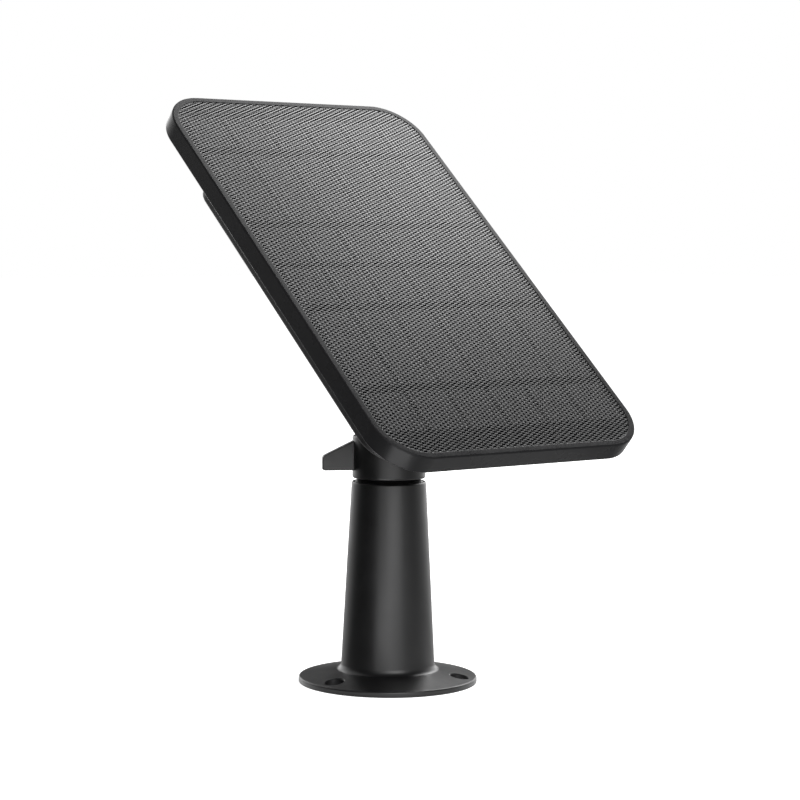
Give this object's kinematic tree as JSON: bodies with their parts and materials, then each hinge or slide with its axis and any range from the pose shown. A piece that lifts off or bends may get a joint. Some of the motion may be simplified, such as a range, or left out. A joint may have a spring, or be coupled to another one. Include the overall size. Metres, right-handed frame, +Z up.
{
  "type": "solar charging panel on a post stand",
  "caption": "Flat solar charging panel in a rounded frame on a tapered post: a ball joint with a winged lock ring lets it pan, tilt and spin, and a screw-down flange fixes it.",
  "frame": {"origin": "centre of the flange's underside, on the post's axis", "axes": "+Z up along the post, the panel leans back and faces -Y, +X along the panel's width"},
  "size_m": [0.1138, 0.1432, 0.2091],
  "materials": {
    "stand_plastic": "satin black moulding with a fine texture",
    "frame_plastic": "satin black moulding",
    "cover_plastic": "satin black moulding with a fine texture",
    "wheel_plastic": "satin black moulding",
    "cup_plastic": "natural acetal",
    "ball_finish": "black coated die casting",
    "steel": "zinc plated",
    "brass": "machined",
    "rubber": "matt",
    "front_film": "embossed clear film over dark cells",
    "solar_cell": "dark silicon strip",
    "ribbon": "black coated copper",
    "back_sheet": "black laminate",
    "foam_tape": "acrylic foam",
    "circuit_board": "green solder mask",
    "ferrite": "moulded ferrite",
    "can_aluminium": "plain can",
    "chip_plastic": "black epoxy",
    "header_plastic": "natural nylon",
    "red_lead": "insulated wire",
    "black_lead": "insulated wire"
  },
  "bodies": {
    "stand": {"stand_post": "stand_plastic"},
    "clamp_ring": {"lock_ring": "stand_plastic"},
    "swivel": {"ball_seat": "cup_plastic"},
    "ball_joint": {"ball": "ball_finish", "ball_stud": "steel"},
    "jam_wheel": {"lock_wheel": "wheel_plastic"},
    "panel": {"rubber_washer": "rubber", "panel_frame": "frame_plastic", "front_film": "front_film", "cell_ribbons": "ribbon", "back_sheet": "back_sheet", "bonding_tape": "foam_tape", "rear_cover": "cover_plastic", "cover_gasket": "rubber", "cover_screws": "steel", "threaded_insert": "brass", "cable_gland": "rubber", "regulator_board": "circuit_board", "board_screws": "steel", "inductor": "ferrite", "capacitors": "can_aluminium", "regulator_chip": "chip_plastic", "diode": "chip_plastic", "output_header": "header_plastic", "positive_lead": "red_lead", "negative_lead": "black_lead", "solar_cell_1": "solar_cell", "solar_cell_2": "solar_cell", "solar_cell_3": "solar_cell", "solar_cell_4": "solar_cell", "solar_cell_5": "solar_cell", "solar_cell_6": "solar_cell", "solar_cell_7": "solar_cell", "solar_cell_8": "solar_cell", "solar_cell_9": "solar_cell", "solar_cell_10": "solar_cell", "solar_cell_11": "solar_cell", "solar_cell_12": "solar_cell"}
  },
  "joints": [
    {"name": "ring_turn", "type": "hinge", "parent": "stand", "child": "clamp_ring", "pos_m": [0, 0, 0.0806], "axis": [0, 0, 1], "range_deg": [0, 90]},
    {"name": "pan", "type": "hinge", "parent": "stand", "child": "swivel", "pos_m": [0, 0, 0.08355], "axis": [0, 0, 1], "continuous": true},
    {"name": "tilt", "type": "hinge", "parent": "swivel", "child": "ball_joint", "pos_m": [0, 0, 0.08355], "axis": [1, 0, 0], "range_deg": [-86, 4]},
    {"name": "wheel_turn", "type": "hinge", "parent": "ball_joint", "child": "jam_wheel", "pos_m": [0, 0, 0.08355], "axis": [0, -0.6561, 0.7547], "range_deg": [-180, 0]},
    {"name": "panel_spin", "type": "hinge", "parent": "ball_joint", "child": "panel", "pos_m": [0, 0, 0.08355], "axis": [0, -0.6561, 0.7547], "continuous": true}
  ]
}
